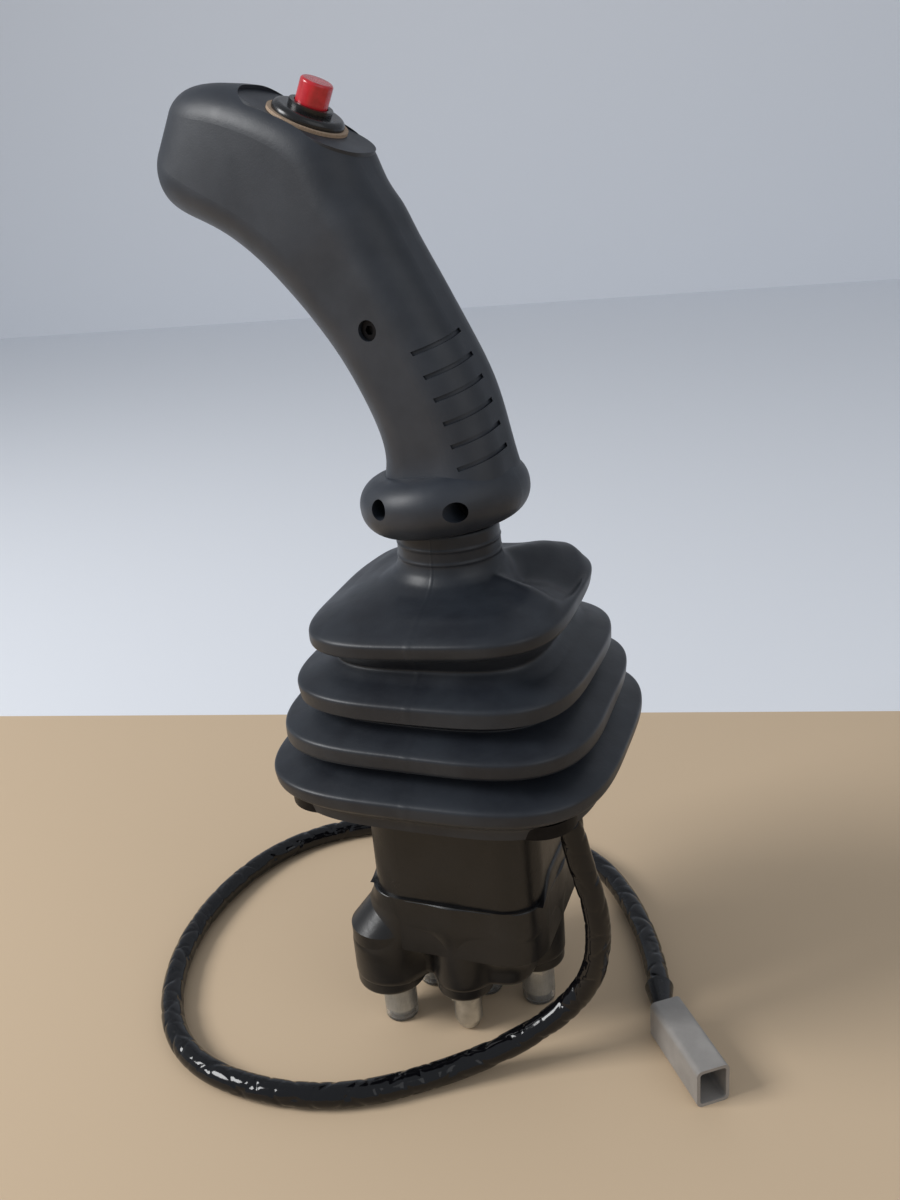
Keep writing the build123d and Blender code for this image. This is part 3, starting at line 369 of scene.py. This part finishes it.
def boot_piece(name, outline, count):
    """One length of the boot with its outer skin and inner wall."""
    table = along(outline, count, EDGE_SOFTNESS)
    outer = boot_rows(table, BOOT_COLUMNS)
    inner_table = np.column_stack([table[:, 0] - 0.15 * BOOT_WALL, table[:, 1] - BOOT_WALL])
    inner = boot_rows(inner_table, BOOT_COLUMNS)[::-1]
    rows = np.concatenate([outer, inner, outer[:1]]) * MM
    piece = mesh_piece(name, rows, grid_faces(len(rows), BOOT_COLUMNS))
    dress(piece, "boot_rubber")
    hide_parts("boot")
    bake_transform(piece)


def boot():
    """The boot in two lengths that meet at the height SEAM_Z."""
    split = next(k for k, (z, _) in enumerate(SKIRT_AND_FOLDS) if z >= SEAM_Z)
    upper = SKIRT_AND_FOLDS[split:] + CROWN_AND_NECK[1:]
    boot_piece("boot_lower_folds", SKIRT_AND_FOLDS[:split + 1], BOOT_ROWS[0])
    boot_piece("boot_upper_folds", upper, BOOT_ROWS[1])


# ---------------------------------------------------------------- port casting
# lobes of the casting: direction (degrees), distance from the axis at the top and foot, radius (mm)
PORT_LOBES = ((0, 23.0, 23.0, 12.0), (90, 23.0, 23.0, 12.0), (180, 23.0, 23.0, 12.0), (270, 23.0, 23.0, 12.0),
              (218.5, 27.2, 39.6, 14.4))
PORT_TOP_Z = -47.9
PORT_FOOT_Z = -89.5
PORT_HALF = 35.2
PORT_WAIST = 27.0
PORT_POWER = 5.0
PORT_BLEND = 1.3
PORT_FOOT_EDGE = 3.0
SHOULDER_RISE = 8.0
SHOULDER_HALF_LENGTH = 27.0
SHOULDER_ROOT = 33.3            # just inside the casing's side
SHOULDER_PROUD = 1.9


def lobe_reach(angle, direction, distance, radius):
    """Reach of a round lobe along each direction from the axis, or a short reach beside it."""
    off = distance * np.sin(angle - direction)
    ahead = distance * np.cos(angle - direction)
    inside = (np.abs(off) < radius) & (ahead > 0.0)
    return np.where(inside, ahead + np.sqrt(np.clip(radius ** 2 - off ** 2, 0.0, None)), 0.2 * distance)


def port_casting():
    """Skin of the lower casting: a rounded square that narrows to a waist, blended with its lobes.

    Each row is the smooth maximum k log(sum exp(r / k)) of the reaches of square and lobes.
    The foot's edge is a quarter circle.
    """
    rows, columns = 96, 360
    angle = np.linspace(0.0, 2 * math.pi, columns, endpoint=False)[None, :]
    down = np.linspace(0.0, 1.0, rows)[:, None]
    z = PORT_TOP_Z + (PORT_FOOT_Z - PORT_TOP_Z) * down
    half = PORT_HALF + (PORT_WAIST - PORT_HALF) * smooth_step((down - 0.25) / 0.6)
    total = np.exp(rounded_square(angle, half, PORT_POWER) / PORT_BLEND)
    for degrees, top, foot, radius in PORT_LOBES:
        distance = top + (foot - top) * smooth_step(down / 0.62)
        total = total + np.exp(lobe_reach(angle, math.radians(degrees), distance, radius) / PORT_BLEND)
    edge = PORT_FOOT_EDGE
    into_edge = np.clip(PORT_FOOT_Z + edge - z, 0.0, edge)
    reach = PORT_BLEND * np.log(total) - edge + np.sqrt(np.clip(edge ** 2 - into_edge ** 2, 0.0, None))
    points = np.stack([reach * np.cos(angle), reach * np.sin(angle), np.broadcast_to(z, reach.shape)], -1)
    flat, faces = capped(points * MM, grid_faces(rows, columns))
    piece = mesh_piece("port_casting_skin", flat, faces)
    dress(piece, "port_casting")
    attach(piece, "valve")


def shoulder(name, side):
    """One low shoulder of the casting beside the casing, with a crest that falls away at both ends."""
    rows, columns = 18, 60
    across = np.linspace(-1.0, 1.0, columns)[None, :]
    up = np.linspace(0.0, 1.0, rows)[:, None]
    crest = SHOULDER_RISE * (1.0 - smooth_step((np.abs(across) - 0.45) / 0.55))
    z = PORT_TOP_Z + crest * up
    y = np.broadcast_to(SHOULDER_HALF_LENGTH * across, z.shape)
    rounding = np.sqrt(np.clip(1.0 - np.clip((up - 0.55) / 0.45, 0.0, 1.0) ** 2, 0.0, None))
    x = np.broadcast_to(SHOULDER_ROOT + SHOULDER_PROUD * rounding, z.shape)
    outer = np.stack([side * x, y, z], -1)
    inner = np.stack([np.full(z.shape, side * (SHOULDER_ROOT - 0.1)), y, z], -1)
    points = np.concatenate([outer, inner[::-1]]) * MM
    faces = grid_faces(len(points), columns, wrap=False)
    last = (len(points) - 1) * columns
    faces += [[j, j + 1, last + j + 1, last + j] for j in range(columns - 1)]
    piece = mesh_piece(name, points, faces)
    dress(piece, "port_casting")
    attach(piece, "valve")


# ---------------------------------------------------------------- cable
CABLE_R = 4.75 * MM
CABLE_STEP = 0.55 * MM
CABLE_COLUMNS = 44
CREASE_DEPTH = 0.55 * MM
CABLE_ROUTE = ((46, -28, 6), (48, -29, -14), (59, -30, -50), (50, -26, -88), (12, -48, -109.25),
               (-42, -84, -109.25), (-112, -76, -109.25), (-148, -4, -109.25), (-134, 78, -109.25),
               (-60, 114, -109.25), (20, 104, -109.25), (62, 46, -109.25), (72, 8, -107.95))
# trains of creases: pitch (mm), way of winding, weight, drift
CREASE_TRAINS = ((17.0, 1, 1.0, 0.071), (11.0, -1, 0.75, 0.113), (6.5, 1, 0.35, 0.19))


def route_line():
    """Points along the smooth spline whose control points are the cable's route."""
    curve = bpy.data.curves.new("cable_route", "CURVE")
    curve.dimensions = "3D"
    spline = curve.splines.new("NURBS")
    spline.points.add(len(CABLE_ROUTE) - 1)
    for point, (x, y, z) in zip(spline.points, CABLE_ROUTE):
        point.co = (x * MM, y * MM, z * MM, 1.0)
    spline.order_u = 3
    spline.use_endpoint_u = True
    spline.resolution_u = 40
    holder = bpy.data.objects.new("cable_route", curve)
    bpy.context.scene.collection.objects.link(holder)
    bpy.context.view_layer.update()
    mesh = bpy.data.meshes.new_from_object(holder.evaluated_get(bpy.context.evaluated_depsgraph_get()))
    line = np.array([v.co for v in mesh.vertices])
    bpy.data.objects.remove(holder)
    bpy.data.meshes.remove(mesh)
    return line


def carried_frames(centre, s):
    """Directions across a line, carried along it without twist."""
    forward = np.gradient(centre, s, axis=0)
    forward /= np.linalg.norm(forward, axis=1)[:, None]
    side = np.zeros_like(forward)
    side[0] = np.cross(forward[0], (0.0, 1.0, 0.0))
    for k in range(1, len(centre)):
        side[k] = side[k - 1] - forward[k] * np.dot(side[k - 1], forward[k])
    side /= np.linalg.norm(side, axis=1)[:, None]
    return side, np.cross(forward, side)


def creases(length, angle):
    """Depth of the creases from 0 up, at each length (mm) and angle about the line.

    The depth is the sum of w (1 - |sin(pi s / pitch + m angle + wander)|)^3 over the trains.
    Each train winds about the line, so that its creases run slantwise, and fades in and out, so
    that they end part of the way round.
    """
    depth = np.zeros(np.broadcast_shapes(length.shape, angle.shape))
    for pitch, turns, weight, drift in CREASE_TRAINS:
        wander = 0.9 * np.sin(length * drift) + 0.5 * np.sin(length * drift * 2.7 + 1.0)
        fade = smooth_step(0.5 + 0.9 * np.sin(2.0 * angle + length * 0.05 * turns + 3.0 * wander))
        wave = np.abs(np.sin(math.pi * length / pitch + turns * angle + wander))
        depth += weight * fade * (1.0 - wave) ** 3
    return depth


def creased_tube(name, line, step, columns):
    """A tube of the cable's radius about a line, less its creases."""
    run = np.concatenate([[0.0], np.cumsum(np.linalg.norm(np.diff(line, axis=0), axis=1))])
    count = int(run[-1] / step)
    s = np.linspace(0.0, run[-1], count)
    centre = np.column_stack([np.interp(s, run, line[:, k]) for k in range(3)])
    side, other = carried_frames(centre, s)
    angle = np.linspace(0.0, 2 * math.pi, columns, endpoint=False)[None, :]
    radius = CABLE_R - CREASE_DEPTH * creases(s[:, None] / MM, angle)
    across = np.cos(angle)[..., None] * side[:, None, :] + np.sin(angle)[..., None] * other[:, None, :]
    flat, faces = capped(centre[:, None, :] + radius[..., None] * across, grid_faces(count, columns))
    return mesh_piece(name, flat, faces), centre


def cable():
    """The creased sleeve from the grommet round the valve to the heat-shrink."""
    tube, centre = creased_tube("cable_crinkled", route_line(), CABLE_STEP, CABLE_COLUMNS)
    dress(tube, "sleeve_pvc")
    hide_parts("cable_sleeve")
    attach(tube, "valve")


# ---------------------------------------------------------------- floor, wall, light and camera
# two points of the edge where the kraft-toned floor ends
FLOOR_LINE = (Vector((-0.410, 0.172, FLOOR_Z)), Vector((0.168, 0.289, FLOOR_Z)))
STAGE_REACH = 3.0
WALL_REACH = 2.2


def sheet(name, corners, color, roughness):
    """A plain flat sheet of the stage."""
    piece = mesh_piece(name, np.array([tuple(c) for c in corners]), [[0, 1, 2, 3]], False)
    piece.data.materials.append(finish(name, color, roughness)[0])


def backdrop():
    """Kraft-toned floor about the valve, a pale floor beyond a straight edge, and a far pale wall.

    The wall stands well behind, to keep out of the way of views from behind.
    """
    edge = (FLOOR_LINE[1] - FLOOR_LINE[0]).normalized()
    back = Vector((-edge.y, edge.x, 0.0))
    left, right = FLOOR_LINE[0] - edge * STAGE_REACH, FLOOR_LINE[1] + edge * STAGE_REACH
    near = back * -2.0 * STAGE_REACH
    far = back * WALL_REACH
    rise = Vector((0.0, 0.0, STAGE_REACH))
    pale = (0.82, 0.84, 0.88)
    sheet("floor", (left + near, right + near, right, left), (0.62, 0.47, 0.315), 0.85)
    sheet("pale_floor", (left, right, right + far, left + far), pale, 0.9)
    sheet("wall", (left + far, right + far, right + far + rise, left + far + rise), pale, 0.9)


def lamp(name, place, size, power):
    """Soft square lamp aimed at the valve."""
    data = bpy.data.lights.new(name, "AREA")
    data.size = size
    data.energy = power
    piece = bpy.data.objects.new(name, data)
    piece.location = place
    aim = Vector((0.0, 0.0, 0.05)) - Vector(place)
    piece.rotation_euler = aim.to_track_quat("-Z", "Y").to_euler()
    bpy.context.scene.collection.objects.link(piece)


def light():
    """Soft key from the left, a weaker fill and an even pale surround."""
    lamp("key", (-1.2, -0.75, 1.05), 0.7, 22.0)
    lamp("fill", (1.2, -0.6, 0.8), 1.2, 3.0)
    world = bpy.data.worlds.new("surround")
    bpy.context.scene.world = world
    world.use_nodes = True
    surround = world.node_tree.nodes["Background"]
    surround.inputs["Color"].default_value = (0.82, 0.87, 0.94, 1.0)
    surround.inputs["Strength"].default_value = 0.47


CAMERA_PLACE = (0.13714, -0.35177, 0.21019)
CAMERA_LOOK = (-0.34213, 0.86693, -0.36246)
CAMERA_ROLL = math.radians(5.0)


def camera():
    """Camera in front, to the right and above, rolled by five degrees."""
    data = bpy.data.cameras.new("camera")
    data.lens = 33.0
    data.sensor_width = 36.0
    piece = bpy.data.objects.new("camera", data)
    look = Vector(CAMERA_LOOK).normalized()
    level = look.cross(Vector((0.0, 0.0, 1.0))).normalized()
    upright = level.cross(look)
    up = upright * math.cos(CAMERA_ROLL) + level * math.sin(CAMERA_ROLL)
    right = level * math.cos(CAMERA_ROLL) - upright * math.sin(CAMERA_ROLL)
    turn = Matrix((right, up, -look)).transposed().to_4x4()
    piece.matrix_world = Matrix.Translation(CAMERA_PLACE) @ turn
    bpy.context.scene.collection.objects.link(piece)
    bpy.context.scene.camera = piece
    bpy.context.scene.view_settings.view_transform = "Standard"


dress_frame()
boot()
port_casting()
shoulder("shoulder_left", -1)
shoulder("shoulder_right", 1)
cable()
backdrop()
light()
camera()
